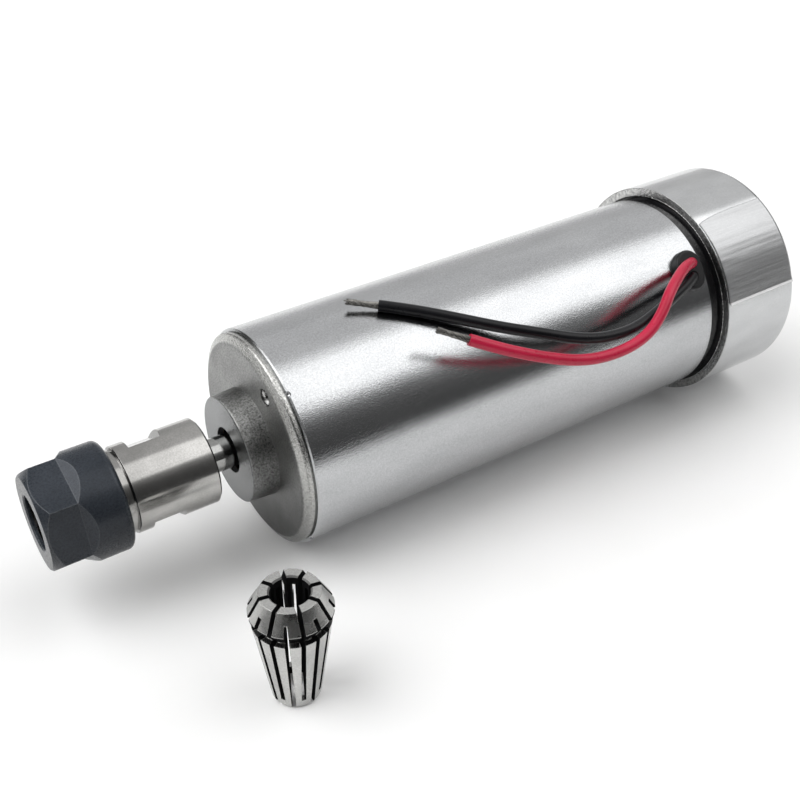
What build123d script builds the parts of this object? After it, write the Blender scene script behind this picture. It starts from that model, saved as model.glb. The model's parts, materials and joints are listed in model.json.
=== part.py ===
from build123d import *
from math import atan, cos, degrees, pi, radians, sin, tan
import os

# Air-cooled brushed motor spindle with a collet chuck, in millimetres.
# The spindle axis is X: the chuck points along -X and the fan cup along +X. +Z is up.
# The origin is on the axis, in the mounting face of the front end plate.
# Angles round the axis are counted from +Z towards -Y, the side on which the leads lie.

# Fits: radial clearances, and the gap left between faces that face each other
press_fit = 0.02
sliding_fit = 0.05
thread_fit = 0.1
cast_fit = 0.1

# Motor tube
body_diameter = 52.0
tube_wall = 2.0
tube_length = 117.0
tube_edge_chamfer = 0.3
crimp_count = 4
crimp_angle = 36.5
crimp_radius = 0.7

# Front end plate
flange_thickness = 2.5
flange_step = 0.7
bevel_length = 1.1
bevel_width = 2.1
bevel_round = 1.8
shadow_groove = 0.4
spigot_length = 6.0
spigot_wall = 2.2
boss_length = 6.1
boss_wall = 2.0
boss_draft = 0.33
boss_lip = 1.4
boss_edge_round = 0.5
boss_hole_clearance = 1.5
plate_behind_bearing = 2.2
mounting_edge = 6.4
mounting_hole = 4.2
mounting_angle = 28.0
mounting_count = 2

# Shaft and bearings
shaft_diameter = 8.0
shaft_shoulder = 1.0
rear_journal_diameter = 6.0
front_bearing_outside = 22.0
front_bearing_width = 7.0
front_ball = 3.97
front_ball_count = 7
rear_bearing_outside = 19.0
rear_bearing_width = 6.0
rear_ball = 3.5
rear_ball_count = 7
preload_shim = 0.5
ball_play = 0.04
race_shoulder_share = 0.37
race_edge_share = 0.06
cage_thickness = 1.1
cage_rim = 0.3

# Collet holder
holder_gap = 6.3
holder_diameter = 20.0
holder_body_length = 19.0
holder_edge = 0.4
groove_length = 0.5
groove_depth = 0.4
thread_diameter = 19.0
taper_mouth = 16.0
taper_half_angle = 8.0
taper_depth = 21.5
shaft_end_gap = 0.5
holder_flats = 17.0
flats_land = 3.2
flats_length = 7.1
flats_run_out = 0.9
flats_angle = -34.0

# Collet nut and its extractor ring
nut_gap = 1.4
nut_diameter = 24.8
nut_length = 17.5
nut_flats = 21.5
nut_flat_length = 7.8
nut_run_out = 2.9
nut_chamfer = 2.0
nut_rear_round = 1.3
nut_hole = 12.4
nut_hole_chamfer = 0.3
nut_lip = 1.0
nut_corner_angle = 48.0
ring_length = 2.4
ring_step = 0.4
ring_wall = 1.1
ring_cone_half_angle = 30.0
nose_gap = 0.8

# Spring collet, standing apart on its narrow end
collet_diameter = 17.0
collet_length = 27.5
collet_bore = 8.0
collet_face = 12.3
collet_land = 0.5
collet_groove_length = 2.6
collet_groove_depth = 1.3
collet_neck_step = 0.5
collet_slits = 8
collet_slit = 0.95
collet_slit_stop = 2.3
collet_back_slit_stop = 2.0
collet_edge = 0.35
collet_turn = 33.0
collet_x = -17.1
collet_y = -48.75

# Armature and magnets
armature_gap = 0.5
magnet_thickness = 3.5
magnet_overhang = 7.5
magnet_arc = 124.0
core_start = 20.0
slot_count = 12
slot_skew = 15.0
slot_opening = 2.0
slot_floor_radius = 10.0
slot_top_width = 5.2
slot_bottom_width = 3.0
tooth_tip = 1.1
wire_gap = 0.35
end_turn_length = 11.0
end_turn_bore = 11.8
end_turn_round = 3.0
commutator_diameter = 20.0
commutator_length = 14.0
commutator_wall = 2.5
commutator_gap = 1.5
commutator_clearance = 1.5
bar_slot = 0.6
bar_slot_depth = 1.5
riser_length = 2.0
riser_height = 2.0

# Brush gear
brush_width = 8.0
brush_thickness = 5.0
guide_wall = 0.8
guide_start = 1.3
guide_gap = 0.3
guide_tube_gap = 0.7
cap_thickness = 1.5
spring_wire = 0.5
spring_diameter = 3.9
spring_turns = 4
spring_length = 4.8
spring_end_gap = 0.05

# Rear end bell
bell_spigot_length = 14.5
bell_wall = 4.0
bell_web = 3.0
bell_hub_wall = 2.5
shaft_clearance = 1.3
collar_length = 3.8
collar_step = 0.6
collar_wall = 3.6
seat_length = 5.0
bell_window_arc = 20.0
bell_window_groups = (-100.0, 180.0)
bell_window_edge = 0.5
pad_width = 10.0
post_diameter = 4.8
post_count = 3
post_angle = 60.0
tie_bolt = 3.0
tie_bolt_head = 5.2
tie_bolt_head_height = 2.4
tie_bolt_grip = 5.5
tie_bolt_edge = 0.3
tie_bolt_seat = 0.4

# Fan cup and fan
cup_overhang = 2.5
cup_wall = 2.2
cup_length = 24.5
cup_back = 1.6
cup_gap = 3.4
cup_back_round = 1.6
vent_inner = 17.0
vent_edge = 9.5
vent_count = 6
vent_spoke = 3.5
fan_blades = 9
fan_length = 11.0
fan_tip_gap = 0.7
fan_gap = 1.6
fan_hub_diameter = 14.0
fan_root_pitch = 30.0
fan_tip_pitch = 50.0
blade_thickness = 1.1
blade_length_share = 0.94
blade_round_share = 0.45
blade_root_share = 0.8
blade_core_share = 0.7
blade_tip_share = 1.1
fan_clip = 0.8
clip_groove = 0.4
fan_clip_diameter = 9.0
cup_screw = 3.0
cup_screw_head = 5.6
cup_screw_head_height = 1.8
cup_screw_length = 8.0
screw_socket = 2.0

# Grommet and leads
grommet_setback = 5.3
grommet_angle = 49.0
grommet_hole = 6.6
grommet_flange = 2.0
grommet_round = 0.67
grommet_neck_length = 4.4
grommet_inner_flange = 1.2
grommet_upper_lobe = 3.9
grommet_lower_lobe = 3.5
grommet_lobe_spread = 1.5
lead_diameter = 2.7
lead_fit = 0.05
lead_arc_share = 0.45
conductor_diameter = 1.5
conductor_length = 7.5

# Places and radii that follow from the sizes above
body_radius = body_diameter / 2
tube_bore = body_radius - tube_wall
tube_front = flange_thickness
tube_rear = tube_front + tube_length
mounting_radius = body_radius - mounting_edge
shaft_radius = shaft_diameter / 2
core_seat_radius = shaft_radius + shaft_shoulder
journal_radius = rear_journal_diameter / 2

front_bearing_x = -boss_length + boss_lip + preload_shim
front_bearing_end = front_bearing_x + front_bearing_width
plate_back = front_bearing_end + plate_behind_bearing
spigot_end = tube_front + spigot_length
boss_radius = front_bearing_outside / 2 + boss_wall

holder_rear = -boss_length - holder_gap
holder_front = holder_rear - holder_body_length
thread_start = holder_front - groove_length
nut_rear = thread_start - nut_gap
nut_front = nut_rear - nut_length
nut_radius = nut_diameter / 2
nut_bore = thread_diameter / 2 + thread_fit
ring_front = nut_front + nut_lip
ring_rear = ring_front + ring_length
ring_radius = nut_bore - ring_step
nose_x = ring_rear + nose_gap
taper_end = nose_x + taper_depth
taper_small_radius = taper_mouth / 2 - taper_depth * tan(radians(taper_half_angle))
shaft_front = taper_end + shaft_end_gap

grommet_x = tube_rear - grommet_setback
bell_front = tube_rear - bell_spigot_length
web_front = bell_front + bell_web
commutator_rear = web_front - commutator_clearance
commutator_front = commutator_rear - commutator_length
commutator_radius = commutator_diameter / 2
core_rear = commutator_front - commutator_gap - end_turn_length
core_front = plate_back + core_start
core_length = core_rear - core_front
core_radius = tube_bore - press_fit - magnet_thickness - armature_gap
magnet_front = core_front - magnet_overhang
magnet_rear = core_rear + magnet_overhang

guide_rear = bell_front - guide_gap
guide_front = guide_rear - brush_width - 2 * guide_wall
guide_inner = commutator_radius + guide_start
guide_outer = tube_bore - guide_tube_gap
guide_length = guide_outer - guide_inner
brush_length = guide_outer - cap_thickness - spring_length - commutator_radius

bell_radius = tube_bore - cast_fit
rear_bearing_x = web_front + bell_web + sliding_fit
rear_bearing_end = rear_bearing_x + rear_bearing_width
collar_radius = body_radius - collar_step
collar_rear = tube_rear + collar_length
seat_rear = collar_rear + seat_length
cup_front = tube_rear + cup_gap
cup_rear = cup_front + cup_length
cup_radius = body_radius + cup_overhang
cup_bore = cup_radius - cup_wall
vent_radius = cup_radius - vent_edge
cup_floor = cup_rear - cup_back
seat_radius = cup_bore - cast_fit
post_circle = cup_bore - cup_back_round / 2 - post_diameter / 2 - cast_fit
fan_radius = post_circle - post_diameter / 2 - fan_tip_gap
fan_front = seat_rear + fan_gap
fan_rear = fan_front + fan_length
tie_circle = tube_bore - tie_bolt / 2 - tie_bolt_edge
tie_seat = tube_rear + tie_bolt_seat

# The collet stands on the surface that the tube's front edge and the cup's rim lie on
floor_slope = (cup_radius - body_radius) / (cup_front - tube_front)
floor_angle = degrees(atan(floor_slope))
collet_z = -body_radius + floor_slope * (tube_front - collet_x)


def turned(points, rounds=(), arc=360):
    """A solid turned about the spindle axis from (x, radius) points; rounds are (point, radius)."""
    face = make_face(Polyline(*points, close=True))
    for index, radius in rounds:
        corner = face.vertices().sort_by_distance(Vector(*points[index]))[0]
        face = fillet(corner, radius)
    return revolve(Plane.XZ * face, Axis.X, arc)


def ring(start, end, inner, outer):
    """A plain ring or disc on the spindle axis."""
    return turned([(start, inner), (end, inner), (end, outer), (start, outer)])


def at(x, radius, angle):
    """The point at an angle round the axis."""
    return Vector(x, -radius * sin(radians(angle)), radius * cos(radians(angle)))


def outward(x, radius, angle):
    """The place whose local Z points away from the axis at an angle round it."""
    return Rot(angle, 0, 0) * Pos(x, 0, radius)


def along(start, end, radius, distance, angle):
    """A round bar parallel to the axis, at a distance from it."""
    bar = Cylinder(radius, end - start, align=(Align.CENTER, Align.CENTER, Align.MIN))
    return Pos(*at(start, distance, angle)) * Rot(0, 90, 0) * bar


def around(count, first=0):
    """Evenly spaced angles round the axis."""
    return [first + 360 * index / count for index in range(count)]


def group(shapes):
    """Several separate solids as one piece of the assembly."""
    return Compound(children=list(shapes))


def side_cut(points, width):
    """A prism across the top of the axis, from (x, height) points."""
    return extrude(Plane.XZ * make_face(Polyline(*points, close=True)), width / 2, both=True)


def ball_bearing(start, width, inner, outer, ball, count):
    """Outer ring, inner ring, balls and cage of a deep-groove bearing."""
    middle = start + width / 2
    pitch = (inner + outer) / 2
    shoulder = race_shoulder_share * ball
    groove = Pos(middle, 0, 0) * Rot(0, 90, 0) * Torus(pitch, ball / 2 + ball_play)
    edge = race_edge_share * width
    outside = outer - press_fit
    outer_ring = turned(
        [
            (start, pitch + shoulder),
            (start + width, pitch + shoulder),
            (start + width, outside - edge),
            (start + width - edge, outside),
            (start + edge, outside),
            (start, outside - edge),
        ]
    )
    bore = inner + press_fit
    inner_ring = ring(start, start + width, bore, pitch - shoulder)
    balls = [outward(middle, pitch, angle) * Sphere(ball / 2) for angle in around(count)]
    half = ball / 2 + ball_play + cage_rim
    cage = ring(middle - half, middle + half, pitch - cage_thickness / 2, pitch + cage_thickness / 2)
    for angle in around(count):
        cage -= outward(middle, pitch, angle) * Sphere(ball / 2 + ball_play)
    return outer_ring - groove, inner_ring - groove, group(balls), cage


def motor_tube():
    """Drawn steel tube with the lead hole near its rear edge and crimps at its front edge."""
    tube = turned(
        [
            (tube_front, tube_bore),
            (tube_rear, tube_bore),
            (tube_rear, body_radius - tube_edge_chamfer),
            (tube_rear - tube_edge_chamfer, body_radius),
            (tube_front + tube_edge_chamfer, body_radius),
            (tube_front, body_radius - tube_edge_chamfer),
        ]
    )
    tube -= outward(grommet_x, body_radius, grommet_angle) * Cylinder(grommet_hole / 2, 4 * tube_wall)
    for angle in around(crimp_count, crimp_angle):
        tube -= outward(tube_front, body_radius, angle) * Sphere(crimp_radius)
    return tube


def front_end_plate():
    """Die-cast plate: bevelled flange, drafted bearing boss and a spigot that enters the tube."""
    flange_radius = body_radius - flange_step
    seat = front_bearing_outside / 2
    lip_end = -boss_length + boss_lip
    plate = turned(
        [
            (-boss_length, shaft_radius + boss_hole_clearance),
            (-boss_length, boss_radius - boss_draft),
            (0, boss_radius),
            (0, flange_radius - bevel_width),
            (bevel_length, flange_radius),
            (tube_front - shadow_groove, flange_radius),
            (tube_front - shadow_groove, flange_radius - shadow_groove),
            (tube_front, flange_radius - shadow_groove),
            (tube_front, tube_bore - press_fit),
            (spigot_end, tube_bore - press_fit),
            (spigot_end, tube_bore - spigot_wall),
            (plate_back, tube_bore - spigot_wall),
            (plate_back, seat),
            (lip_end, seat),
            (lip_end, shaft_radius + boss_hole_clearance),
        ],
        rounds=[(1, boss_edge_round), (3, bevel_round), (4, bevel_length / 2)],
    )
    lugs = [along(plate_back, spigot_end, tie_bolt, tie_circle, angle) for angle in (90, 270)]
    limit = ring(plate_back, spigot_end, shaft_radius, tube_bore - press_fit)
    for lug in lugs:
        plate += lug & limit
    for angle in (90, 270):
        plate -= along(spigot_end - tie_bolt_grip, spigot_end, tie_bolt / 2, tie_circle, angle)
    for angle in around(mounting_count, mounting_angle):
        plate -= along(0, plate_back, mounting_hole / 2, mounting_radius, angle)
    return plate


def shaft():
    """Motor shaft with a thicker stretch under the armature and a thin rear journal."""
    groove = fan_rear + fan_clip
    chamfer = shaft_radius / 10
    return turned(
        [
            (shaft_front, 0),
            (shaft_front, shaft_radius - chamfer),
            (shaft_front + chamfer, shaft_radius),
            (front_bearing_end, shaft_radius),
            (front_bearing_end, core_seat_radius),
            (rear_bearing_x, core_seat_radius),
            (rear_bearing_x, journal_radius),
            (fan_rear, journal_radius),
            (fan_rear, journal_radius - clip_groove),
            (groove, journal_radius - clip_groove),
            (groove, journal_radius),
            (groove + fan_clip, journal_radius),
            (groove + fan_clip, 0),
        ]
    )


def collet_holder():
    """Ground holder: threaded nose, collet taper, shaft bore and two spanner flats."""
    radius = holder_diameter / 2
    groove_radius = min(radius, thread_diameter / 2) - groove_depth
    holder = turned(
        [
            (nose_x, taper_mouth / 2),
            (nose_x, thread_diameter / 2 - holder_edge),
            (nose_x + holder_edge, thread_diameter / 2),
            (thread_start, thread_diameter / 2),
            (thread_start, groove_radius),
            (holder_front, groove_radius),
            (holder_front, radius - holder_edge / 2),
            (holder_front + holder_edge / 2, radius),
            (holder_rear - holder_edge, radius),
            (holder_rear, radius - holder_edge),
            (holder_rear, shaft_radius + press_fit),
            (taper_end, shaft_radius + press_fit),
            (taper_end, taper_small_radius),
        ]
    )
    flat_start = holder_front + flats_land
    flat_end = flat_start + flats_length
    flat = side_cut(
        [
            (flat_start, holder_flats / 2),
            (flat_end, holder_flats / 2),
            (flat_end + flats_run_out, radius + holder_edge),
            (flat_start, radius + holder_edge),
        ],
        2 * holder_diameter,
    )
    for angle in (flats_angle, flats_angle + 180):
        holder -= Rot(angle, 0, 0) * flat
    return holder


def collet_nut():
    """Blackened nut: hexagon cut into the front of a round skirt, with sloping run-outs."""
    nut = turned(
        [
            (nut_front, nut_hole / 2 + nut_hole_chamfer),
            (nut_front, nut_radius - nut_chamfer),
            (nut_front + nut_chamfer, nut_radius),
            (nut_rear, nut_radius),
            (nut_rear, nut_bore),
            (ring_rear, nut_bore),
            (ring_rear, ring_radius + thread_fit),
            (ring_front, ring_radius + thread_fit),
            (ring_front, nut_hole / 2),
            (nut_front + nut_hole_chamfer, nut_hole / 2),
        ],
        rounds=[(3, nut_rear_round)],
    )
    flat_end = nut_front + nut_flat_length
    flat = side_cut(
        [
            (nut_front - nut_chamfer, nut_flats / 2),
            (flat_end, nut_flats / 2),
            (flat_end + nut_run_out, nut_radius + nut_chamfer / 4),
            (nut_front - nut_chamfer, nut_radius + nut_chamfer / 4),
        ],
        2 * nut_diameter,
    )
    for angle in around(6, nut_corner_angle - 30):
        nut -= Rot(angle, 0, 0) * flat
    return nut


def nut_ring():
    """Extractor ring that sits loose in the nut and pushes on the collet's front cone."""
    front_bore = ring_radius - ring_wall - ring_length * tan(radians(ring_cone_half_angle))
    return turned(
        [
            (ring_front, front_bore),
            (ring_front, ring_radius),
            (ring_rear, ring_radius),
            (ring_rear, ring_radius - ring_wall),
        ]
    )


def spring_collet():
    """Collet with a short front cone, a groove, a long rear cone and slits from both ends."""
    wide = collet_diameter / 2
    cone_end = collet_length - (wide - collet_face / 2) / tan(radians(ring_cone_half_angle))
    groove_top = cone_end - collet_land
    groove_bottom = groove_top - collet_groove_length
    neck = wide - collet_neck_step
    foot = neck - groove_bottom * tan(radians(taper_half_angle))
    bore = collet_bore / 2
    profile = Polyline(
        (bore + collet_edge, 0),
        (foot - collet_edge, 0),
        (foot, 2 * collet_edge),
        (neck, groove_bottom),
        (neck - collet_groove_depth, groove_bottom),
        (neck - collet_groove_depth, groove_top),
        (wide, groove_top),
        (wide, cone_end),
        (collet_face / 2, collet_length),
        (bore + collet_edge, collet_length),
        (bore, collet_length - collet_edge),
        (bore, collet_edge),
        close=True,
    )
    collet = revolve(Plane.XZ * make_face(profile), Axis.Z)
    standing = (Align.MIN, Align.CENTER, Align.MIN)
    front_slit = Box(collet_diameter, collet_slit, collet_length, align=standing)
    front_slit = Pos(0, 0, collet_slit_stop) * front_slit
    back_length = cone_end + collet_back_slit_stop
    back_slit = Box(collet_diameter, collet_slit, back_length + 1, align=standing)
    for angle in around(collet_slits, collet_turn):
        collet -= Rot(0, 0, angle) * front_slit
        collet -= Pos(0, 0, -1) * Rot(0, 0, angle + 180 / collet_slits) * back_slit
    return Pos(collet_x, collet_y, collet_z) * Rot(0, floor_angle, 0) * collet


def slot_prism(points, start, end):
    """A bar along the axis that turns steadily by the slot skew over the core's length."""
    face = make_face(Polyline(*points, close=True))
    sections = []
    for x in (start, end):
        turn = radians(slot_skew * (x - core_front) / core_length)
        plane = Plane(origin=(x, 0, 0), x_dir=(0, cos(turn), sin(turn)), z_dir=(1, 0, 0))
        sections.append(plane * face)
    return loft(sections, ruled=True)


def armature_core():
    """Laminated core with skewed winding slots."""
    core = ring(core_front, core_rear, core_seat_radius + press_fit, core_radius)
    throat = core_radius - tooth_tip
    floor = slot_floor_radius
    points = [
        (-slot_opening / 2, core_radius + tooth_tip),
        (-slot_opening / 2, throat),
        (-slot_top_width / 2, throat - tooth_tip / 2),
        (-slot_bottom_width / 2, floor),
        (slot_bottom_width / 2, floor),
        (slot_top_width / 2, throat - tooth_tip / 2),
        (slot_opening / 2, throat),
        (slot_opening / 2, core_radius + tooth_tip),
    ]
    slot = slot_prism(points, core_front - 1, core_rear + 1)
    for angle in around(slot_count):
        core -= Rot(angle, 0, 0) * slot
    return core


def end_turns(start, end):
    """The rounded ring of wire where the coils turn at one end of the core."""
    outer = core_radius - tooth_tip - wire_gap
    inner = end_turn_bore / 2
    points = [(start, inner), (end, inner), (end, outer), (start, outer)]
    corners = (2, 1) if start >= core_rear else (3, 0)
    return turned(points, rounds=[(index, end_turn_round) for index in corners])


def armature_windings():
    """Coil sides in the slots, joined by the end turns at both ends."""
    top = core_radius - 1.5 * tooth_tip - wire_gap
    floor = slot_floor_radius + wire_gap
    points = [
        (-slot_top_width / 2 + wire_gap, top),
        (-slot_bottom_width / 2 + wire_gap, floor),
        (slot_bottom_width / 2 - wire_gap, floor),
        (slot_top_width / 2 - wire_gap, top),
    ]
    bar = slot_prism(points, core_front - 1, core_rear + 1)
    coils = end_turns(core_front - end_turn_length, core_front)
    coils += end_turns(core_rear, core_rear + end_turn_length)
    for angle in around(slot_count):
        coils += Rot(angle, 0, 0) * bar
    return coils


def commutator():
    """Copper bars with a raised riser at the winding end."""
    inner = commutator_radius - commutator_wall
    riser = commutator_radius + riser_height
    bars = turned(
        [
            (commutator_front, inner),
            (commutator_rear, inner),
            (commutator_rear, commutator_radius),
            (commutator_front + riser_length, commutator_radius),
            (commutator_front + riser_length, riser),
            (commutator_front, riser),
        ]
    )
    depth = 2 * riser_height + bar_slot_depth
    cut = Box(3 * commutator_length, bar_slot, depth, align=(Align.CENTER, Align.CENTER, Align.MIN))
    for angle in around(slot_count, 180 / slot_count):
        bars -= outward(commutator_front, commutator_radius - bar_slot_depth, angle) * cut
    return bars


def brush_guide(angle):
    """Brass box in which one brush slides, open at the commutator end."""
    low = (Align.MIN, Align.CENTER, Align.MIN)
    tube = Box(brush_width + 2 * guide_wall, brush_thickness + 2 * guide_wall, guide_length, align=low)
    wide = brush_width + 2 * sliding_fit
    thick = brush_thickness + 2 * sliding_fit
    inside = Box(wide, thick, 2 * guide_length, align=low)
    hollow = tube - Pos(guide_wall - sliding_fit, 0, -1) * inside
    return outward(guide_front, guide_inner, angle) * hollow


def carbon_brush(angle):
    """Carbon block whose end is curved to the commutator."""
    inner = commutator_radius - 1
    corner = (Align.MIN, Align.CENTER, Align.MIN)
    block = Box(brush_width, brush_thickness, brush_length + 1, align=corner)
    brush = outward(guide_front + guide_wall, inner, angle) * block
    return brush - ring(guide_front, guide_rear, 0, commutator_radius + sliding_fit)


def brush_spring(angle):
    """Coil spring between a brush and its guide cap."""
    start = commutator_radius + brush_length + spring_wire / 2 + spring_end_gap
    end = guide_outer - cap_thickness - spring_wire / 2 - spring_end_gap
    path = Helix((end - start) / spring_turns, end - start, (spring_diameter - spring_wire) / 2)
    wire = sweep(Plane(origin=path @ 0, z_dir=path % 0) * Circle(spring_wire / 2), path=path)
    return outward(guide_front + guide_wall + brush_width / 2, start, angle) * wire


def guide_cap(angle):
    """Cap that closes the outer end of a brush guide."""
    cap = Box(brush_width, brush_thickness, cap_thickness, align=(Align.MIN, Align.CENTER, Align.MIN))
    return outward(guide_front + guide_wall, guide_outer - cap_thickness, angle) * cap


def rear_end_bell():
    """Black moulding: spigot, bearing hub, slotted collar, seat and posts for the cup."""
    hub = rear_bearing_outside / 2 + bell_hub_wall
    bell = ring(bell_front, tube_rear, bell_radius - bell_wall, bell_radius)
    web_bore = core_seat_radius + shaft_clearance
    bell += ring(web_front, web_front + bell_web, web_bore, bell_radius - bell_wall)
    bell += ring(web_front, rear_bearing_end, web_bore, hub)
    bell -= ring(rear_bearing_x, rear_bearing_end, 0, rear_bearing_outside / 2)
    bell += ring(tube_rear, collar_rear, collar_radius - collar_wall, collar_radius)
    bell += ring(collar_rear, seat_rear, collar_radius - collar_wall, seat_radius)
    window = turned(
        [
            (tube_rear + bell_window_edge, collar_radius - 2 * collar_wall),
            (collar_rear - 2 * bell_window_edge, collar_radius - 2 * collar_wall),
            (collar_rear - 2 * bell_window_edge, body_radius),
            (tube_rear + bell_window_edge, body_radius),
        ],
        arc=bell_window_arc,
    )
    for middle in bell_window_groups:
        for step in (-1.5, 0, 1.5):
            bell -= Rot(middle + (step - 0.5) * bell_window_arc, 0, 0) * window
    for angle in (0, 180):
        height = bell_radius - bell_wall / 2 - hub
        pad = Box(web_front - guide_rear, pad_width, height, align=(Align.MIN, Align.CENTER, Align.MIN))
        bell += outward(guide_rear, hub, angle) * pad
    for angle in around(post_count, post_angle):
        post = along(collar_rear + 1, cup_floor, post_diameter / 2, post_circle, angle)
        bell += post
        bell -= along(cup_floor - cup_screw_length, cup_floor, cup_screw / 2, post_circle, angle)
    for angle in (90, 270):
        bell -= along(bell_front, tie_seat, tie_bolt / 2 + sliding_fit, tie_circle, angle)
        bell -= along(tie_seat, seat_rear, tie_bolt_head / 2 + sliding_fit, tie_circle, angle)
    notch = Cylinder(grommet_upper_lobe + sliding_fit + grommet_lobe_spread, 2 * bell_wall)
    bell -= outward(grommet_x, bell_radius - bell_wall / 2, grommet_angle) * notch & ring(
        bell_front, tube_rear - bell_window_edge, 0, body_radius
    )
    return bell


def tie_bolts():
    """Two long bolts that hold the bell, tube and front plate together."""
    bolts = []
    for angle in (90, 270):
        shank = along(spigot_end - tie_bolt_grip, tie_seat, tie_bolt / 2 - press_fit, tie_circle, angle)
        head = along(tie_seat, tie_seat + tie_bolt_head_height, tie_bolt_head / 2, tie_circle, angle)
        bolts.append(shank + head)
    return group(bolts)


def fan_cup():
    """Drawn cup over the fan, with air vents in its back."""
    cup = turned(
        [
            (cup_front, cup_bore),
            (cup_front, cup_radius),
            (cup_rear, cup_radius),
            (cup_rear, 0),
            (cup_floor, 0),
            (cup_floor, cup_bore),
        ],
        rounds=[(2, cup_back_round), (5, cup_back_round / 2)],
    )
    vents = ring(cup_floor - 1, cup_rear + 1, vent_inner / 2, vent_radius)
    spoke = Box(4 * cup_back, vent_spoke, cup_radius, align=(Align.CENTER, Align.CENTER, Align.MIN))
    for angle in around(vent_count):
        vents -= outward(cup_rear, 0, angle) * spoke
    cup -= vents
    for angle in around(post_count, post_angle):
        cup -= along(cup_floor, cup_rear, cup_screw / 2 + cast_fit, post_circle, angle)
    return cup


def cup_screws():
    """Socket screws that hold the cup to the bell's posts."""
    screws = []
    for angle in around(post_count, post_angle):
        start = cup_floor - cup_screw_length
        end = cup_rear + cup_screw_head_height
        screw = along(start, cup_rear, cup_screw / 2 - press_fit, post_circle, angle)
        screw += along(cup_rear, end, cup_screw_head / 2, post_circle, angle)
        socket = extrude(RegularPolygon(screw_socket / 2, 6, major_radius=False), cup_screw_head_height)
        mouth = Pos(*at(end - cup_screw_head_height / 2, post_circle, angle)) * Rot(0, 90, 0)
        screws.append(screw - mouth * socket)
    return group(screws)


def cooling_fan():
    """Axial fan with twisted blades on a round hub."""
    middle = (fan_front + fan_rear) / 2
    hub_radius = fan_hub_diameter / 2
    fan = turned(
        [
            (fan_front, journal_radius + press_fit),
            (fan_rear, journal_radius + press_fit),
            (fan_rear, hub_radius),
            (fan_front, hub_radius),
        ],
        rounds=[(3, hub_radius / 4)],
    )
    blade_root = blade_root_share * hub_radius
    blade_tip = blade_tip_share * fan_radius
    sections = []
    for radius, pitch in ((blade_root, fan_root_pitch), (blade_tip, fan_tip_pitch)):
        chord = blade_length_share * fan_length / cos(radians(pitch)) - blade_thickness
        plane = Plane(
            origin=(middle, 0, radius),
            x_dir=(cos(radians(pitch)), sin(radians(pitch)), 0),
            z_dir=(0, 0, 1),
        )
        corner = blade_round_share * blade_thickness
        sections.append(plane * RectangleRounded(chord, blade_thickness, corner))
    blade = loft(sections) & ring(fan_front, fan_rear, blade_core_share * hub_radius, fan_radius)
    for angle in around(fan_blades):
        fan += Rot(angle, 0, 0) * blade
    return fan


def grommet():
    """Rubber grommet with a two-lobed flange, gripping both leads in the tube's wall."""
    lobes = []
    for side, radius in ((1, grommet_upper_lobe), (-1, grommet_lower_lobe)):
        disc = Cylinder(radius, 2 * grommet_flange, align=(Align.CENTER, Align.CENTER, Align.MIN))
        disc = fillet(disc.edges().sort_by(Axis.Z)[-1], grommet_round)
        place = outward(grommet_x, body_radius - grommet_flange, grommet_angle)
        lobes.append(place * Pos(0, side * grommet_lobe_spread, 0) * disc)
    flange = (lobes[0] + lobes[1]) - ring(tube_front, tube_rear, 0, body_radius + press_fit)
    neck = Cylinder(grommet_hole / 2 - press_fit, grommet_neck_length)
    neck = outward(grommet_x, body_radius, grommet_angle) * neck
    foot = Cylinder(grommet_upper_lobe, 2 * grommet_inner_flange)
    foot = outward(grommet_x, tube_bore, grommet_angle) * foot
    foot &= ring(tube_front, tube_rear, 0, tube_bore - press_fit)
    body = flange + neck + foot
    for route in (red_route, black_route):
        body -= cord(lead_path(route)[0], lead_diameter / 2 + lead_fit)
    return body


# The leads' routes, as (distance in front of the tube's rear edge, height over the tube, distance
# round the tube from the grommet's middle)
red_route = [
    (3.9, -3.2, -1.6),
    (4.2, 1.6, -1.6),
    (6.6, 4.2, -1.5),
    (12.1, 6.9, -0.8),
    (20.7, 9.6, 2.2),
    (25.4, 10.4, 5.1),
    (30.6, 10.5, 7.6),
    (37.0, 10.2, 8.8),
    (44.5, 9.7, 8.8),
    (51.4, 9.3, 7.8),
    (58.6, 9.1, 5.7),
    (66.2, 8.9, 2.9),
    (72.4, 8.5, 0.1),
    (76.5, 8.2, -2.1),
]
black_route = [
    (4.9, -3.2, 1.4),
    (5.1, 1.5, 1.4),
    (7.4, 3.1, 1.8),
    (13.0, 4.6, 3.2),
    (21.2, 6.2, 4.8),
    (31.0, 7.4, 6.5),
    (40.4, 8.2, 6.2),
    (48.8, 8.2, 4.6),
    (57.4, 6.3, 1.1),
    (65.1, 4.0, -2.8),
    (74.5, 2.5, -8.9),
    (82.1, 2.1, -14.3),
    (87.1, 1.9, -18.0),
]


def cord(path, radius):
    """A round bar that follows a path."""
    return sweep(Plane(origin=path @ 0, z_dir=path % 0) * Circle(radius), path=path)


def lead_path(route):
    """Straight runs joined by tangent arcs as large as the runs allow, and the arcs' radii."""
    points = []
    for setback, height, across in route:
        angle = grommet_angle + degrees(across / body_radius)
        points.append(at(tube_rear - setback, body_radius + height, angle))
    radii = []
    for before, here, after in zip(points, points[1:], points[2:]):
        turn = radians((here - before).get_angle(after - here))
        shorter = min((here - before).length, (after - here).length)
        radii.append(lead_arc_share * shorter / tan(turn / 2))
    return FilletPolyline(*points, radius=radii), radii


def lead(name, route):
    """The insulated part of a lead and its bare end."""
    path, radii = lead_path(route)
    tube = cord(path, lead_diameter / 2)
    share = tube.volume / (pi * (lead_diameter / 2) ** 2 * path.length)
    print(name, "length", round(path.length, 1), "volume share", round(share, 4))
    print(name, "radii", [round(radius, 1) for radius in radii])
    end = path @ 1
    return tube, cord(Line(end, end + (path % 1) * conductor_length), conductor_diameter / 2)


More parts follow.
